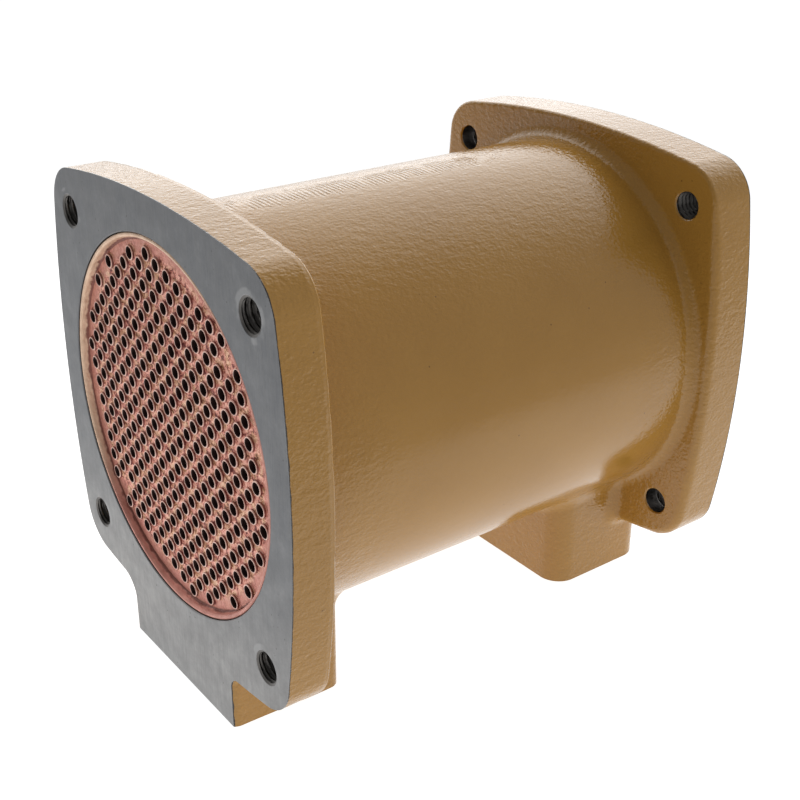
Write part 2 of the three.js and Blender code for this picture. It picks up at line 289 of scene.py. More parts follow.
def outline_distance(x, z):
    """Signed distance to the flange outline, about the barrel axis."""
    corner_x, corner_z, side_end, top_end = flange_corner()
    side_x = FLANGE_HALF_WIDTH - FLANGE_SIDE_RADIUS
    top_z = FLANGE_HALF_HEIGHT - FLANGE_SIDE_RADIUS
    ax, az = np.abs(x), np.abs(z)
    side = np.hypot(ax - side_x, az) - FLANGE_SIDE_RADIUS
    top = np.hypot(ax, az - top_z) - FLANGE_SIDE_RADIUS
    corner = np.hypot(ax - corner_x, az - corner_z) - FLANGE_CORNER_RADIUS
    in_corner = (np.arctan2(az, ax - side_x) > side_end) & (np.arctan2(az - top_z, ax) < top_end)
    return np.where(in_corner, corner, np.maximum(side, top))


def rounded(a, b, radius):
    """Both distances held at once, with the edge between them rounded."""
    qa, qb = a + radius, b + radius
    return np.minimum(np.maximum(qa, qb), 0) + np.hypot(np.maximum(qa, 0), np.maximum(qb, 0)) - radius


def blended(a, b, radius):
    """Either shape, with a round fillet of that radius where they meet."""
    u = np.maximum(radius - a, 0)
    v = np.maximum(radius - b, 0)
    return np.maximum(radius, np.minimum(a, b)) - np.hypot(u, v)


def slab(value, low, high):
    return np.abs(value - (low + high) / 2) - (high - low) / 2


def smooth_step(value, low, high):
    t = np.clip((value - low) / (high - low), 0, 1)
    return t * t * (3 - 2 * t)


def casting_distance(x, y, z):
    """Signed distance to the raw casting, before its faces, bore and holes are cut.

    The flanges and pads reach past the planes they are cut on by a spare amount.
    """
    spare = 4.0
    up = z - AXIS_Z
    outline = outline_distance(x, up)
    front_flange = rounded(outline, slab(y, FRONT - spare, FRONT_FLANGE_BACK), FRONT_EDGE_ROUNDING)
    sharper = (REAR_EDGE_ROUNDING - REAR_TOP_ROUNDING) * smooth_step(up, 45, 66)
    rear_rounding = REAR_EDGE_ROUNDING - sharper
    rear_flange = rounded(outline, slab(y, REAR_FLANGE_FRONT, REAR + spare), rear_rounding)
    barrel = np.maximum(np.hypot(x, up) - BARREL_RADIUS, np.abs(y) - BARREL_HALF_LENGTH)
    body = blended(blended(barrel, front_flange, BARREL_FILLET), rear_flange, BARREL_FILLET)

    pad_height = slab(z, -spare, PAD_TOP)
    front_half_width = FRONT_PAD_HALF_WIDTH + FRONT_PAD_WIDENING * smooth_step(y, FRONT, FRONT + 34)
    front_span = slab(y, FRONT - 1.4, FRONT + FRONT_PAD_LENGTH)
    front_plan = rounded(np.abs(x) - front_half_width, front_span, FRONT_PAD_CORNER)
    front_pad = rounded(front_plan, pad_height, PAD_EDGE_ROUNDING)
    rear_span = slab(y, REAR - REAR_PAD_LENGTH, REAR + 0.3)
    rear_plan = rounded(np.abs(x) - REAR_PAD_HALF_WIDTH, rear_span, REAR_PAD_CORNER)
    rear_pad = rounded(rear_plan, pad_height, PAD_EDGE_ROUNDING)

    # Under the front flange the fillet is larger on the left than on the right.
    flange_fillet = 7.0 - 3.0 * smooth_step(x, -20, 20)
    past_flange = smooth_step(y, FRONT_FLANGE_BACK, FRONT_FLANGE_BACK + 8)
    front_fillet = flange_fillet + (PAD_FILLET - flange_fillet) * past_flange
    body = blended(body, front_pad, front_fillet)
    return blended(body, rear_pad, PAD_FILLET)


def casting_slope(x, y, z):
    """The outward slope of casting_distance, one row to a point."""
    step = 0.05
    return np.stack(
        [
            casting_distance(x + step, y, z) - casting_distance(x - step, y, z),
            casting_distance(x, y + step, z) - casting_distance(x, y - step, z),
            casting_distance(x, y, z + step) - casting_distance(x, y, z - step),
        ],
        -1,
    ) / (2 * step)


def casting_mesh():
    """The casting's outer surface as quads, with every corner moved onto the exact surface."""
    axes = [np.arange(low, high, VOXEL) for low, high in zip(GRID_LOW, GRID_HIGH)]
    grid_x, grid_y, grid_z = np.meshgrid(*axes, indexing="ij", sparse=True)
    field = casting_distance(grid_x, grid_y, grid_z).astype(np.float32)
    volume = openvdb.FloatGrid(GRID_REACH)
    volume.copyFromArray(np.clip(field, -GRID_REACH, GRID_REACH))
    points, quads = volume.convertToQuads()
    points = points.astype(float) * VOXEL + np.array(GRID_LOW)
    # Newton's method: each step divides the distance left by the slope.
    for _ in range(3):
        x, y, z = points.T
        here = casting_distance(x, y, z)
        slope = casting_slope(x, y, z)
        size = np.maximum((slope**2).sum(-1), 0.25)
        points = points - slope * (here / size)[:, None]
    return points, quads


def thread_cutter(x, z, y0, y1, mouth_at_front):
    """A screw-shaped rod that leaves a thread in the hole, with a cone at the machined mouth.

    Three of the rear holes start with a plain stretch on their painted side. Every painted mouth
    is narrower by a coat of paint and has a small chamfer.
    """
    steps = 40
    rings_per_turn = 10
    ys = np.arange(y0, y1 + 0.01, THREAD_PITCH / rings_per_turn)
    face = FRONT if mouth_at_front else REAR
    painted = FRONT_FLANGE_BACK if mouth_at_front else REAR_FLANGE_FRONT
    from_face = np.abs(ys - face) * np.where((ys > face) == mouth_at_front, 1, -1)
    from_painted = np.abs(painted - face) - from_face
    turn = np.arange(steps) / steps
    phase = (ys[:, None] / THREAD_PITCH - turn[None, :]) % 1.0
    groove = np.clip(1.35 - 3.0 * np.abs(phase - 0.5), 0, 1)
    threaded_through = mouth_at_front or (x > 0 and z > AXIS_Z)
    plain = 0.6 if threaded_through else PLAIN_BORE
    groove *= (smooth_step(from_face, 0.4, 0.8) * smooth_step(from_painted, plain, plain + 1.2))[:, None]
    root = PAINTED_MOUTH + (THREAD_MINOR - PAINTED_MOUTH) * smooth_step(from_painted, 0.2, 0.8)
    radii = root[:, None] + (THREAD_MAJOR - THREAD_MINOR) * groove
    cone = HOLE_MOUTH - 2 * np.maximum(from_face, -0.5)
    painted_cone = PAINTED_CHAMFER - np.maximum(from_painted, -0.3)
    radii = np.maximum(radii, np.maximum(cone, painted_cone)[:, None])
    return rod_mesh(radii, ys, steps, (x, z))


def bore_cutter():
    """A rod as wide as the bore that flares out past both end faces to leave a chamfer."""
    flare = 3.0
    radii = [BORE_RADIUS + BORE_CHAMFER + flare, BORE_RADIUS + BORE_CHAMFER, BORE_RADIUS]
    ys = [FRONT - flare, FRONT, FRONT + BORE_CHAMFER]
    return rod_mesh(radii + radii[::-1], ys + [-y for y in reversed(ys)], 192, (0, AXIS_Z))


def port_cutters():
    """The oil port in each pad, with a chamfered screw hole on either side of it."""
    cutters = []
    below = -5
    screw_radii = [PORT_BOLT_MOUTH, PORT_BOLT_MOUTH, PORT_BOLT_RADIUS, PORT_BOLT_RADIUS]
    for y in (-PORT_Y, PORT_Y):
        points, faces = rod_mesh([PORT_RADIUS] * 2, [below, PORT_DEPTH], 64, (0, y))
        cutters.append((upright(points), faces))
        for x in (-PORT_BOLT_X, PORT_BOLT_X):
            points, faces = rod_mesh(screw_radii, [below, 0.3, 1.1, PORT_BOLT_DEPTH], 32, (x, y))
            cutters.append((upright(points), faces))
    return cutters


def make_housing(materials):
    casting = new_object("housing_casting", *casting_mesh())
    outward(casting)
    wide = 200.0
    cut(casting, [box_mesh((-wide, -wide, -wide), (wide, FRONT, wide))])
    cut(casting, [box_mesh((-wide, REAR, -wide), (wide, wide, wide))])
    cut(casting, [box_mesh((-wide, -wide, -wide), (wide, wide, 0))])
    cut(casting, [bore_cutter()])
    holes = []
    for x in (-HOLE_OFFSET, HOLE_OFFSET):
        for z in (AXIS_Z - HOLE_OFFSET, AXIS_Z + HOLE_OFFSET):
            holes.append(thread_cutter(x, z, FRONT - 1, FRONT_FLANGE_BACK + 4, True))
            holes.append(thread_cutter(x, z, REAR_FLANGE_FRONT - 4, REAR + 1, False))
    cut(casting, holes)
    cut(casting, port_cutters())

    place(casting, ["housing"], materials)
    casting.data.set_sharp_from_angle(angle=math.radians(38))
    mark_housing_faces(casting.data)
    shade_by_exact_surface(casting.data)


def shade_by_exact_surface(mesh):
    """Gives the painted faces the exact surface's normals, so small roundings catch the light evenly."""
    points = np.empty(len(mesh.vertices) * 3)
    mesh.vertices.foreach_get("co", points)
    x, y, z = (points.reshape(-1, 3) / MM).T
    slope = casting_slope(x, y, z)
    size = np.linalg.norm(slope, axis=1)
    exact = (np.abs(casting_distance(x, y, z)) < HAIR) & (size > 0.9)
    corner_count = len(mesh.loops)
    vertex = np.empty(corner_count, int)
    mesh.loops.foreach_get("vertex_index", vertex)
    slot = np.empty(len(mesh.polygons), int)
    mesh.polygons.foreach_get("material_index", slot)
    sides = np.empty(len(mesh.polygons), int)
    mesh.polygons.foreach_get("loop_total", sides)
    painted = np.repeat(slot == PAINTED, sides) & exact[vertex]
    normals = np.where(painted[:, None], (slope / np.maximum(size, 0.1)[:, None])[vertex], 0.0)
    mesh.normals_split_custom_set(normals.tolist())


def mark_housing_faces(mesh):
    """Sorts the faces into paint, bare machined faces, bore and ports, and tapped holes."""
    count = len(mesh.polygons)
    centres = np.empty(count * 3)
    normals = np.empty(count * 3)
    mesh.polygons.foreach_get("center", centres)
    mesh.polygons.foreach_get("normal", normals)
    x, y, z = (centres.reshape(-1, 3) / MM).T
    normals = normals.reshape(-1, 3)
    up = z - AXIS_Z
    slot = np.full(count, PAINTED)
    at_face = (np.abs(y - FRONT) < HAIR) | (np.abs(y - REAR) < HAIR)
    slot[at_face & (np.abs(normals[:, 1]) > 0.99)] = MACHINED
    slot[(z < HAIR) & (normals[:, 2] < -0.99)] = MACHINED
    across = np.abs(normals[:, 1]) < 0.9
    slot[across & (np.hypot(x, up) < BORE_RADIUS + 0.45)] = BORED
    for port_y in (-PORT_Y, PORT_Y):
        in_port = np.hypot(x, y - port_y) < PORT_RADIUS + 0.1
        slot[in_port & (z > HAIR) & (z < PORT_DEPTH)] = BORED
        for bolt_x in (-PORT_BOLT_X, PORT_BOLT_X):
            in_bolt_hole = np.hypot(x - bolt_x, y - port_y) < PORT_BOLT_MOUTH + 0.1
            slot[in_bolt_hole & (z > HAIR) & (z < PORT_BOLT_DEPTH + 1)] = TAPPED
    near = np.hypot(np.abs(x) - HOLE_OFFSET, np.abs(up) - HOLE_OFFSET) < HOLE_MOUTH + 0.2
    slot[near & across] = TAPPED
    on_painted_mouth = (y > FRONT_FLANGE_BACK - 0.7) & (y < REAR_FLANGE_FRONT + 0.7)
    slot[near & across & on_painted_mouth] = PAINTED
    from_end = REAR - np.abs(y)
    slot[near & across & (from_end < 0.1)] = MACHINED
    bore_edge = np.abs(np.hypot(x, up) - BORE_RADIUS) < 0.5
    slot[across & bore_edge & (from_end < 0.35)] = MACHINED
    mesh.polygons.foreach_set("material_index", slot)
    mesh.polygons.foreach_set("use_smooth", np.abs(normals).max(1) < 0.9999)
    mesh.update()


# ---------------------------------------------------------------- tube bundle


def steps_in_row(row):
    """The lattice steps along a row that hold a tube; two places hold the tie rods."""
    if abs(row) == LAST_ROW:
        return [-row // 2 - 1, -row // 2 + 1]
    steps = []
    for step in range(-LAST_ROW, LAST_ROW + 1):
        inside = row * row + row * step + step * step <= LATTICE_LIMIT
        rod = row == 0 and abs(step) == TIE_ROD_STEP
        if inside and not rod:
            steps.append(step)
    return steps


def turned(along, across):
    """Distances along and across the tube rows as (x, z) about the barrel axis."""
    x = along * math.cos(ROW_ANGLE) - across * math.sin(ROW_ANGLE)
    z = along * math.sin(ROW_ANGLE) + across * math.cos(ROW_ANGLE)
    return x, z


def lattice_point(row, step):
    """Where a lattice place lies, as (x, z) in the row frame."""
    x, z = turned((step + row / 2) * PITCH, -row * ROW_SPACING)
    return x, z + AXIS_Z - LATTICE_DROP


def all_tubes():
    return [(row, step) for row in range(-LAST_ROW, LAST_ROW + 1) for step in steps_in_row(row)]


def wander(seed):
    """A repeatable value from 0 to 1."""
    value = math.sin(seed * 12.9898 + 4.1414) * 43758.5453
    return value - math.floor(value)


def tube_mesh(row, step):
    """One hollow tube with rounded lips, and a ring of solder round it at each tube sheet."""
    seed = row * 31 + step
    # No two tubes end at quite the same depth or have quite the same bore.
    lip = TUBE_END_DEPTH + 0.2 * (wander(seed) - 0.5)
    y0, y1 = FRONT + lip, REAR - lip
    bore = TUBE_BORE + 0.06 * (wander(seed + 0.5) - 0.5)
    profile = [
        (TUBE_RADIUS - 0.10, y0),
        (TUBE_RADIUS - 0.02, y0 + 0.09),
        (TUBE_RADIUS, y0 + 0.5),
        (TUBE_RADIUS, y1 - 0.5),
        (TUBE_RADIUS - 0.02, y1 - 0.09),
        (TUBE_RADIUS - 0.10, y1),
        (bore + 0.07, y1),
        (bore + 0.02, y1 - 0.07),
        (bore, y1 - 0.5),
        (bore, y0 + 0.5),
        (bore + 0.02, y0 + 0.07),
        (bore + 0.07, y0),
    ]
    x, z = lattice_point(row, step)
    parts = [turned_ring(profile, 28, (x, z))]
    # The solder ran thicker towards the upper left.
    flooded = smooth_step(z - AXIS_Z - x, -20.0, 75.0)
    for face, sign in ((FRONT, 1), (REAR, -1)):
        height = 0.12 + 0.25 * wander(seed + 7.3 * sign) + 0.25 * flooded
        spread = 0.3 + 0.4 * wander(seed + 3.1 * sign) + 0.2 * flooded
        plate = face + sign * PLATE_DEPTH
        ring = [
            (TUBE_RADIUS - 0.1, plate + sign * 0.3),
            (TUBE_RADIUS - 0.05, plate - sign * height),
            (TUBE_RADIUS + spread * 0.25, plate - sign * height * 0.45),
            (TUBE_RADIUS + spread * 0.6, plate - sign * height * 0.12),
            (TUBE_RADIUS + spread, plate + sign * 0.03),
            (TUBE_RADIUS + spread * 0.8, plate + sign * 0.3),
        ]
        parts.append(turned_ring(ring, 24, (x, z)))
    return join(parts)


def mark_bores(mesh, row):
    """Gives the inside wall of each tube the second material."""
    count = len(mesh.polygons)
    centres = np.empty(count * 3)
    mesh.polygons.foreach_get("center", centres)
    x, y, z = (centres.reshape(-1, 3) / MM).T
    inside = np.zeros(count, bool)
    for step in steps_in_row(row):
        tube_x, tube_z = lattice_point(row, step)
        inside |= np.hypot(x - tube_x, z - tube_z) < TUBE_BORE + 0.05
    mesh.polygons.foreach_set("material_index", inside.astype(int))


def make_tube_rows(materials):
    for row in range(-LAST_ROW, LAST_ROW + 1):
        name = f"tube_row_{row + LAST_ROW + 1:02d}"
        points, faces = join([tube_mesh(row, step) for step in steps_in_row(row)])
        tubes = new_object(f"{name}_tubes", points, faces)
        outward(tubes)
        place(tubes, [name], materials)
        mark_bores(tubes.data, row)


def make_tube_sheet(end, material):
    """A drilled plate whose edge is turned up towards the nearer end face and folded over."""
    sign, face = (1, FRONT) if end == "front" else (-1, REAR)
    back = PLATE_DEPTH + PLATE_THICKNESS
    # Pairs of radius and depth behind the end face.
    rim = [
        (0.001, PLATE_DEPTH),
        (20, PLATE_DEPTH),
        (40, PLATE_DEPTH),
        (58.5, PLATE_DEPTH),
        (58.9, PLATE_DEPTH + 0.06),
        (59.15, PLATE_DEPTH - 0.1),
        (59.3, PLATE_DEPTH - 0.5),
        (59.5, 1.4),
        (59.65, 0.8),
        (59.95, 0.42),
        (60.4, 0.3),
        (60.8, 0.4),
        (61.05, 0.7),
        (SHEET_RADIUS, 1.2),
        (SHEET_RADIUS, 4.6),
        (60.7, 5.3),
        (60.0, 5.7),
        (59.0, back),
        (0.001, back),
    ]
    profile = [(radius, face + sign * depth) for radius, depth in rim]
    points, faces = turned_ring(profile, 240, (0, AXIS_Z))
    sheet = new_object(f"tube_sheet_{end}_plate", points, faces)
    outward(sheet)
    holes = []
    low, high = sorted((face, face + sign * 9))
    for row, step in all_tubes():
        holes.append(rod_mesh([TUBE_RADIUS + 0.02] * 2, [low, high], 24, lattice_point(row, step)))
    cut(sheet, holes)
    sheet.data.set_sharp_from_angle(angle=math.radians(40))
    place(sheet, [f"tube_sheet_{end}"], [material])


def make_baffles(material):
    """Round plates with one side cut off straight along a row of tubes, by turns on either side."""
    steps = 180
    edge = BAFFLE_LAST_ROW * ROW_SPACING + BAFFLE_EDGE_MARGIN
    for index in range(BAFFLE_COUNT):
        y = (index - (BAFFLE_COUNT - 1) / 2) * BAFFLE_SPACING
        side = 1 if index % 2 == 0 else -1
        y0, y1 = y - BAFFLE_THICKNESS / 2, y + BAFFLE_THICKNESS / 2
        angle = np.linspace(0, 2 * math.pi, steps, endpoint=False)
        radii = np.full(steps, BAFFLE_RADIUS)
        across = np.sin(angle) * side
        cut_off = across * BAFFLE_RADIUS > edge
        radii[cut_off] = edge / across[cut_off]
        x, z = turned(radii * np.cos(angle), radii * np.sin(angle))
        points = np.concatenate([np.stack([x, np.full(steps, v), z + AXIS_Z], -1) for v in (y0, y1)])
        faces = [tuple(f) for f in grid_faces(2, steps, False, True)]
        faces += [tuple(reversed(range(steps))), tuple(range(steps, 2 * steps))]
        plate = new_object(f"baffle_{index + 1}_plate", points, faces, smooth=False)
        outward(plate)
        holes = []
        through = [y0 - 1, y1 + 1]
        for row, step in all_tubes():
            if -row * ROW_SPACING * side < edge:
                holes.append(rod_mesh([TUBE_RADIUS + 0.12] * 2, through, 20, lattice_point(row, step)))
        for step in (-TIE_ROD_STEP, TIE_ROD_STEP):
            holes.append(rod_mesh([TIE_ROD_HOLE] * 2, through, 20, lattice_point(0, step)))
        cut(plate, holes)
        place(plate, [f"baffle_{index + 1}"], [material])


def make_tie_rods(material):
    for name, step in (("tie_rod_upper", TIE_ROD_STEP), ("tie_rod_lower", -TIE_ROD_STEP)):
        inset = PLATE_DEPTH + PLATE_THICKNESS + 0.3
        ys = [FRONT + inset, FRONT + inset + 0.4, REAR - inset - 0.4, REAR - inset]
        end = TIE_ROD_RADIUS - 0.3
        radii = [end, TIE_ROD_RADIUS, TIE_ROD_RADIUS, end]
        points, faces = rod_mesh(radii, ys, 28, lattice_point(0, step))
        rod = new_object(f"{name}_bar", points, faces)
        outward(rod)
        rod.data.set_sharp_from_angle(angle=math.radians(40))
        place(rod, [name], [material])


# ---------------------------------------------------------------- materials


class Nodes:
    """Small helper for building one node material.

    Places and distances inside the nodes are in metres; the methods that take millimetres say so.
    """

    def __init__(self, name):
        self.material = bpy.data.materials.new(name)
        self.material.use_nodes = True
        self.tree = self.material.node_tree
        self.shader = self.tree.nodes["Principled BSDF"]
        self.position = self.tree.nodes.new("ShaderNodeTexCoord").outputs["Object"]

    def link(self, source, target):
        self.tree.links.new(source, target)

    def set(self, **values):
        for key, value in values.items():
            self.shader.inputs[key.replace("_", " ")].default_value = value

    def noise(self, scale, detail=2.0, roughness=0.5, stretch=(1, 1, 1), distortion=0.0):
        """Noise whose features are about 1/scale metres across."""
        mapping = self.tree.nodes.new("ShaderNodeMapping")
        mapping.inputs["Scale"].default_value = stretch
        self.link(self.position, mapping.inputs["Vector"])
        node = self.tree.nodes.new("ShaderNodeTexNoise")
        node.inputs["Scale"].default_value = scale
        node.inputs["Detail"].default_value = detail
        node.inputs["Roughness"].default_value = roughness
        node.inputs["Distortion"].default_value = distortion
        self.link(mapping.outputs["Vector"], node.inputs["Vector"])
        return node.outputs["Fac"]

    def spots(self, scale):
        """Distance from the nearest of many scattered points, about 1/scale metres apart."""
        node = self.tree.nodes.new("ShaderNodeTexVoronoi")
        node.inputs["Scale"].default_value = scale
        self.link(self.position, node.inputs["Vector"])
        return node.outputs["Distance"]

    def axis(self, name):
        """One coordinate of the place on the surface, in metres."""
        node = self.tree.nodes.new("ShaderNodeSeparateXYZ")
        self.link(self.position, node.inputs["Vector"])
        return node.outputs[name]

    def length(self, a, b):
        """The length of the line whose two sides are a and b."""
        squares = [self.math("MULTIPLY", part, part) for part in (a, b)]
        return self.math("SQRT", self.math("ADD", *squares))

    def from_axis(self):
        """Distance from the barrel's axis."""
        return self.length(self.axis("X"), self.math("SUBTRACT", self.axis("Z"), AXIS_Z * MM))

    def behind_face(self):
        """Distance behind the nearer machined end face."""
        return self.math("SUBTRACT", REAR * MM, self.math("ABSOLUTE", self.axis("Y")))

    def math(self, operation, a, b=0.0):
        node = self.tree.nodes.new("ShaderNodeMath")
        node.operation = operation
        for socket, value in zip(node.inputs, (a, b)):
            if isinstance(value, (int, float)):
                socket.default_value = value
            else:
                self.link(value, socket)
        return node.outputs[0]

    def ramp(self, source, low, high, out_low=0.0, out_high=1.0):
        """A smooth change from out_low to out_high; low may be the larger one."""
        node = self.tree.nodes.new("ShaderNodeMapRange")
        node.interpolation_type = "SMOOTHSTEP"
        values = {"From Min": low, "From Max": high, "To Min": out_low, "To Max": out_high}
        for key, value in values.items():
            node.inputs[key].default_value = value
        self.link(source, node.inputs["Value"])
        return node.outputs["Result"]

    def ramp_mm(self, source, low, high, out_low=0.0, out_high=1.0):
        """A ramp over a distance, with its ends in millimetres."""
        return self.ramp(source, low * MM, high * MM, out_low, out_high)

    def product(self, first, *others):
        for other in others:
            first = self.math("MULTIPLY", first, other)
        return first

    def colours(self, source, stops):
        node = self.tree.nodes.new("ShaderNodeValToRGB")
        elements = node.color_ramp.elements
        while len(elements) < len(stops):
            elements.new(0.5)
        for element, (position, colour) in zip(elements, stops):
            element.position = position
            element.color = (*colour, 1)
        self.link(source, node.inputs["Fac"])
        return node.outputs["Color"]

    def mix(self, factor, a, b):
        node = self.tree.nodes.new("ShaderNodeMix")
        node.data_type = "RGBA"
        for key, value in {"Factor": factor, "A": a, "B": b}.items():
            socket = node.inputs[key]
            if isinstance(value, tuple):
                socket.default_value = (*value, 1)
            elif isinstance(value, (int, float)):
                socket.default_value = value
            else:
                self.link(value, socket)
        return next(s for s in node.outputs if s.name == "Result" and s.type == "RGBA")

    def bump(self, height, distance, strength=1.0, before=None):
        """A relief as high as distance, in millimetres, laid over the normal that came before."""
        node = self.tree.nodes.new("ShaderNodeBump")
        node.inputs["Distance"].default_value = distance * MM
        node.inputs["Strength"].default_value = strength
        self.link(height, node.inputs["Height"])
        if before is not None:
            self.link(before, node.inputs["Normal"])
        return node.outputs["Normal"]


def paint_material():
    """Glossy ochre paint over a sand-cast surface, with a band of tool marks on top of the barrel."""
    n = Nodes("ochre_paint")
    ochres = [(0.25, (0.390, 0.197, 0.034)), (0.5, (0.415, 0.213, 0.039)), (0.8, (0.440, 0.230, 0.045))]
    colour = n.colours(n.noise(28, 3), ochres)
    specks = n.product(n.ramp(n.spots(300), 0.12, 0.05), n.ramp(n.noise(90, 2), 0.60, 0.66), 0.6)
    colour = n.mix(specks, colour, (0.07, 0.035, 0.012))
    colour = n.mix(paint_edge(n), colour, (0.035, 0.028, 0.022))
    n.link(colour, n.shader.inputs["Base Color"])
    n.link(n.ramp(n.noise(420, 3), 0.3, 0.7, 0.12, 0.16), n.shader.inputs["Roughness"])
    n.set(IOR=1.5, Metallic=0.0)
    peel = n.noise(1000, 1, 0.5, (1, 0.75, 1))
    lumps = n.noise(420, 2, 0.5, (1, 0.55, 1))
    grain = n.math("ADD", n.product(peel, 0.6), n.product(lumps, 0.75))
    normal = n.bump(n.product(grain, roughcast(n)), 0.6, 0.62)
    normal = n.bump(tool_marks(n), 0.3, 0.45, normal)
    n.link(normal, n.shader.inputs["Normal"])
    return n.material


def paint_edge(n):
    """The thin dark line where the paint stops at a machined end face."""
    wavering = n.math("SUBTRACT", n.behind_face(), n.product(n.noise(260, 2), 0.6 * MM))
    return n.ramp_mm(wavering, 0.1, -0.05)


def roughcast(n):
    """How rough the casting is under the paint.

    It is roughest at the front flange, and smoothest along the barrel's sides and the back edge
    of the front flange.
    """
    y, z = n.axis("Y"), n.axis("Z")
    front_end = n.ramp_mm(y, -35, -70, 0.0, 0.9)
    rear_end = n.ramp_mm(y, 35, 70, 0.0, 0.7)
    top = n.ramp_mm(z, AXIS_Z + 5, AXIS_Z + 45)
    under = n.ramp_mm(z, AXIS_Z - 35, AXIS_Z - 60)
    middle = n.math("MAXIMUM", n.product(top, 0.6), n.product(under, 0.8))
    roughest = n.math("MAXIMUM", n.math("MAXIMUM", front_end, rear_end), middle)
    from_edge = n.math("ABSOLUTE", n.math("SUBTRACT", y, FRONT_FLANGE_BACK * MM))
    return n.product(n.ramp(roughest, 0.0, 1.0, 0.14, 1.0), n.ramp_mm(from_edge, 0.8, 2.2, 0.2, 1.0))


def tool_marks(n):
    """Fine ridges where the casting's parting line was ground off along the top of the barrel."""
    ridge_spacing = 1.65 * MM
    y = n.axis("Y")
    uneven_y = n.math("ADD", y, n.product(n.noise(90, 2), 2.2 * MM))
    wave = n.math("SINE", n.product(uneven_y, 2 * math.pi / ridge_spacing))
    ragged = n.product(n.math("SUBTRACT", n.noise(330, 3, 0.7), 0.5), 14 * MM)
    x = n.math("ADD", n.axis("X"), ragged)
    band = n.product(n.ramp_mm(x, -6.5, -3.5), n.ramp_mm(x, 6.0, 3.5))
    patchy = n.ramp(n.noise(140, 2), 0.36, 0.56, 0.25, 1.0)
    on_top = n.ramp_mm(n.axis("Z"), AXIS_Z + 58, AXIS_Z + 60)
    along = n.product(n.ramp_mm(y, -74, -70), n.ramp_mm(y, 50, 5))
    return n.product(wave, band, patchy, on_top, along)


def machined_material():
    """Bare milled iron: mottled and streaked, lighter where washers rubbed, with painted shade darkening
    it towards the top.
    """
    n = Nodes("machined_iron")
    cloud = n.noise(110, 5, 0.7)
    grain = n.noise(900, 3, 0.6, (1, 1, 0.08))
    # Lit and shaded tones of the same iron: painted light low down and painted shade towards the top of
    # the face.
    lit_lower_tones = [(0.3, (0.225, 0.222, 0.220)), (0.55, (0.300, 0.297, 0.293)), (0.75, (0.370, 0.366, 0.360))]
    shaded_upper_tones = [(0.3, (0.112, 0.118, 0.128)), (0.55, (0.155, 0.160, 0.168)), (0.75, (0.202, 0.206, 0.213))]
    height = n.math("ADD", n.axis("Z"), n.product(n.noise(18, 2), 30 * MM))
    colour = n.mix(n.ramp_mm(height, 30, 105), n.colours(cloud, lit_lower_tones), n.colours(cloud, shaded_upper_tones))
    colour = n.mix(n.product(n.ramp(grain, 0.35, 0.65), 0.25), colour, (0.33, 0.33, 0.33))
    rubbed = n.product(n.ramp_mm(from_holes(n), 8.0, 7.2), n.ramp(n.noise(75, 3), 0.52, 0.60), 0.35)
    colour = n.mix(rubbed, colour, (0.46, 0.46, 0.46))
    specks = n.product(n.ramp(n.spots(420), 0.16, 0.06), n.ramp(n.noise(120, 2), 0.55, 0.62), 0.7)
    colour = n.mix(specks, colour, (0.05, 0.048, 0.045))
    n.link(colour, n.shader.inputs["Base Color"])
    n.set(Metallic=0.85)
    n.link(n.ramp(grain, 0.3, 0.7, 0.40, 0.54), n.shader.inputs["Roughness"])
    n.link(n.bump(grain, 0.2, 0.25), n.shader.inputs["Normal"])
    return n.material


def from_holes(n):
    """Distance from the middle of the nearest flange hole."""
    across = n.math("SUBTRACT", n.math("ABSOLUTE", n.axis("X")), HOLE_OFFSET * MM)
    height = n.math("ABSOLUTE", n.math("SUBTRACT", n.axis("Z"), AXIS_Z * MM))
    return n.length(across, n.math("SUBTRACT", height, HOLE_OFFSET * MM))


def bore_material():
    """The dark wall of the bore and the ports, stained by oil."""
    n = Nodes("bore_iron")
    cloud = n.noise(60, 3)
    colour = n.colours(cloud, [(0.3, (0.05, 0.045, 0.042)), (0.7, (0.10, 0.092, 0.085))])
    n.link(colour, n.shader.inputs["Base Color"])
    n.set(Metallic=0.7)
    n.link(n.ramp(cloud, 0.3, 0.7, 0.45, 0.6), n.shader.inputs["Roughness"])
    n.link(n.bump(n.noise(700, 2), 0.2, 0.4), n.shader.inputs["Normal"])
    return n.material


def thread_material():
    """Tapped iron: brighter than the bore, with old oil in it."""
    n = Nodes("tapped_iron")
    cloud = n.noise(300, 3)
    colour = n.colours(cloud, [(0.3, (0.075, 0.070, 0.066)), (0.7, (0.17, 0.16, 0.15))])
    n.link(colour, n.shader.inputs["Base Color"])
    n.set(Metallic=0.9)
    n.link(n.ramp(cloud, 0.3, 0.7, 0.3, 0.5), n.shader.inputs["Roughness"])
    n.link(n.bump(n.noise(900, 2), 0.1, 0.3), n.shader.inputs["Normal"])
    return n.material


def mottled_copper(n):
    """Pickled copper and solder: pink and peach patches with dark red-brown between them."""
    pinks = [(0.39, (0.15, 0.028, 0.024)), (0.47, (0.66, 0.210, 0.150)), (0.57, (1.00, 0.520, 0.400))]
    peaches = [(0.39, (0.19, 0.065, 0.028)), (0.47, (0.68, 0.320, 0.170)), (0.57, (0.98, 0.620, 0.420))]
    blotch = n.noise(620, 4, 0.75, distortion=0.6)
    n.link(n.ramp(blotch, 0.3, 0.7, 0.52, 0.38), n.shader.inputs["Roughness"])
    n.link(n.bump(n.noise(900, 3, 0.6), 0.5, 0.6), n.shader.inputs["Normal"])
    n.set(Metallic=0.45)
    patches = n.ramp(n.noise(260, 3), 0.45, 0.58)
    return n.mix(patches, n.colours(blotch, pinks), n.colours(blotch, peaches))


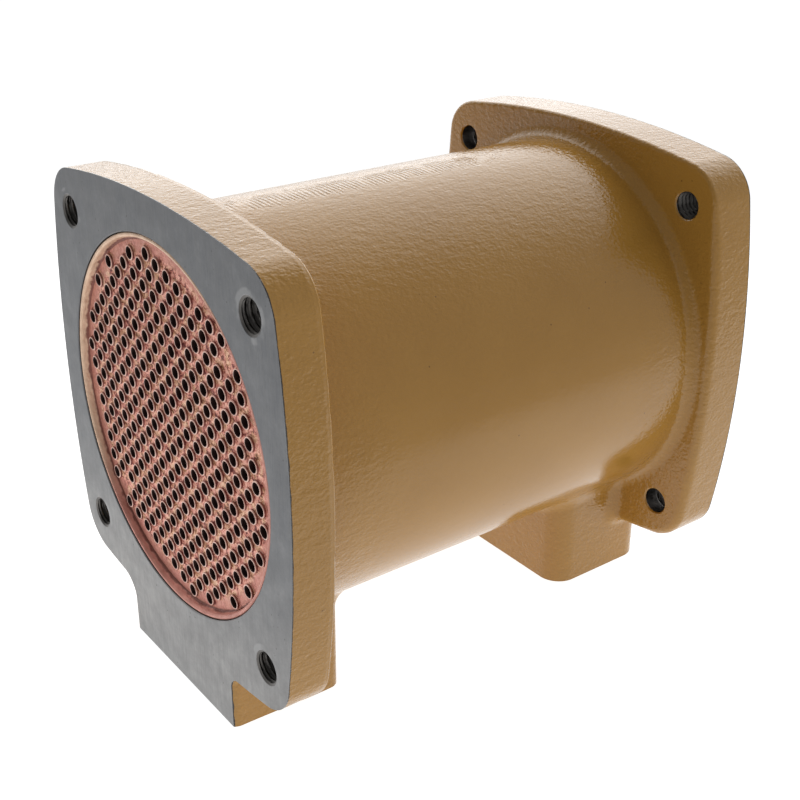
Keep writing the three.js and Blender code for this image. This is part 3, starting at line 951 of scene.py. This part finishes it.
def sheet_material():
    """The tube sheet: mottled between the tubes, smoother outside them, clean on its turned-up rim.

    A dark line of painted shade runs round in the corner inside the rim.
    """
    n = Nodes("sheet_copper")
    smooth_pink = n.colours(n.noise(90, 3), [(0.3, (0.58, 0.230, 0.180)), (0.7, (0.76, 0.330, 0.265))])
    outside_tubes = n.ramp_mm(n.from_axis(), 53.5, 56.0, 0.0, 0.8)
    colour = n.mix(outside_tubes, mottled_copper(n), smooth_pink)
    ragged_radius = n.math("ADD", n.from_axis(), n.product(n.noise(300, 3), 0.6 * MM))
    # Painted shade: a dark line in the corner where the plate meets the rim.
    colour = n.mix(n.ramp_mm(ragged_radius, 58.6, 59.2), colour, (0.24, 0.085, 0.062))
    pale = n.colours(n.noise(200, 3), [(0.3, (0.68, 0.45, 0.31)), (0.7, (0.90, 0.65, 0.47))])
    pink = n.colours(n.noise(200, 3), [(0.3, (0.56, 0.24, 0.19)), (0.7, (0.74, 0.34, 0.27))])
    upper_left = n.math("SUBTRACT", n.axis("Z"), n.axis("X"))
    rim_colour = n.mix(n.ramp_mm(upper_left, 85, 125), pink, pale)
    colour = n.mix(n.ramp_mm(ragged_radius, 59.5, 59.7), colour, rim_colour)
    n.link(colour, n.shader.inputs["Base Color"])
    return n.material


def tube_material():
    """The tubes: clean bright lips, walls dark with flux and with painted crevice shade down to the
    solder.
    """
    n = Nodes("tube_copper")
    depth = n.behind_face()
    # The walls between the lip and the solder are darkened: partly flux stain, partly painted shade of
    # the crevice round each tube.
    flux_and_crevice_shade = n.product(n.ramp_mm(depth, 2.05, 2.20), n.ramp_mm(depth, 2.75, 2.55), 0.75)
    colour = n.mix(flux_and_crevice_shade, mottled_copper(n), (0.20, 0.045, 0.045))
    lip = n.colours(n.noise(300, 2), [(0.3, (0.78, 0.47, 0.39)), (0.7, (0.94, 0.67, 0.57))])
    colour = n.mix(n.ramp_mm(depth, 2.20, 2.05), colour, lip)
    n.link(colour, n.shader.inputs["Base Color"])
    return n.material


def tube_bore_material():
    """The tarnished inside of the tubes, nearly black."""
    n = Nodes("tube_bore")
    colour = n.colours(n.noise(300, 2), [(0.3, (0.030, 0.013, 0.011)), (0.7, (0.070, 0.030, 0.026))])
    n.link(colour, n.shader.inputs["Base Color"])
    n.set(Metallic=0.3, Roughness=0.6)
    n.link(n.bump(n.noise(900, 2), 0.1, 0.3), n.shader.inputs["Normal"])
    return n.material


def steel_material():
    """Bare steel strip and rod."""
    n = Nodes("core_steel")
    cloud = n.noise(120, 3)
    colour = n.colours(cloud, [(0.3, (0.30, 0.30, 0.30)), (0.7, (0.42, 0.42, 0.42))])
    n.link(colour, n.shader.inputs["Base Color"])
    n.set(Metallic=1.0)
    n.link(n.ramp(cloud, 0.3, 0.7, 0.35, 0.5), n.shader.inputs["Roughness"])
    n.link(n.bump(n.noise(900, 2), 0.1, 0.3), n.shader.inputs["Normal"])
    return n.material


# ---------------------------------------------------------------- stage


def make_floor():
    """A pale table with a light of its own, dim on the camera's side and weaker far behind."""
    points = [(-FLOOR, -FLOOR, 0), (FLOOR, -FLOOR, 0), (FLOOR, FLOOR, 0), (-FLOOR, FLOOR, 0)]
    floor = new_object("floor", points, [(0, 1, 2, 3)], smooth=False)
    n = Nodes("floor")
    colour = n.colours(n.noise(3, 2), [(0.2, (0.39, 0.39, 0.39)), (0.8, (0.41, 0.41, 0.41))])
    n.link(colour, n.shader.inputs["Base Color"])
    n.set(Roughness=0.8)
    n.shader.inputs["Emission Color"].default_value = (1, 1, 1, 1)
    x, y = n.axis("X"), n.axis("Y")
    towards_x, towards_y = TOWARDS_CAMERA
    towards = n.math("ADD", n.product(x, towards_x), n.product(y, towards_y))
    lit = n.product(n.ramp_mm(x, 450, 170), n.ramp_mm(y, -480, -165), n.ramp_mm(towards, 320, 115))
    strongest = n.ramp_mm(towards, -600, -300, TABLE_FAR - TABLE_DIM, TABLE_AROUND - TABLE_DIM)
    glow = n.math("ADD", n.product(lit, strongest), TABLE_DIM)
    n.link(glow, n.shader.inputs["Emission Strength"])
    floor.data.materials.append(n.material)


def wall_light(tree, direction, toward, strength):
    """Light that grows smoothly towards one side of the room."""
    facing = tree.nodes.new("ShaderNodeVectorMath")
    facing.operation = "DOT_PRODUCT"
    facing.inputs[1].default_value = toward
    tree.links.new(direction, facing.inputs[0])
    lit = tree.nodes.new("ShaderNodeMapRange")
    lit.interpolation_type = "SMOOTHSTEP"
    for key, value in {"From Min": 0.2, "From Max": 0.9, "To Min": 0.0, "To Max": strength}.items():
        lit.inputs[key].default_value = value
    tree.links.new(facing.outputs["Value"], lit.inputs["Value"])
    return lit.outputs["Result"]


def make_world():
    world = bpy.data.worlds.new("studio")
    bpy.context.scene.world = world
    world.use_nodes = True
    tree = world.node_tree
    direction = tree.nodes.new("ShaderNodeTexCoord").outputs["Generated"]
    # The first wall is added to the room, and the second one to both.
    total = None
    for toward, strength in WALLS:
        light = wall_light(tree, direction, toward, strength)
        add = tree.nodes.new("ShaderNodeMath")
        add.operation = "ADD"
        add.inputs[1].default_value = ROOM
        if total is not None:
            tree.links.new(total, add.inputs[1])
        tree.links.new(light, add.inputs[0])
        total = add.outputs[0]
    background = tree.nodes["Background"]
    background.inputs["Color"].default_value = (1, 1, 1, 1)
    tree.links.new(total, background.inputs["Strength"])


# ---------------------------------------------------------------- scene

add_camera()
bpy.context.scene.view_settings.view_transform = "Standard"
make_housing([paint_material(), machined_material(), bore_material(), thread_material()])
sheet_copper = sheet_material()
for sheet_end in ("front", "rear"):
    make_tube_sheet(sheet_end, sheet_copper)
make_tube_rows([tube_material(), tube_bore_material()])
steel = steel_material()
make_baffles(steel)
make_tie_rods(steel)
make_floor()
make_world()
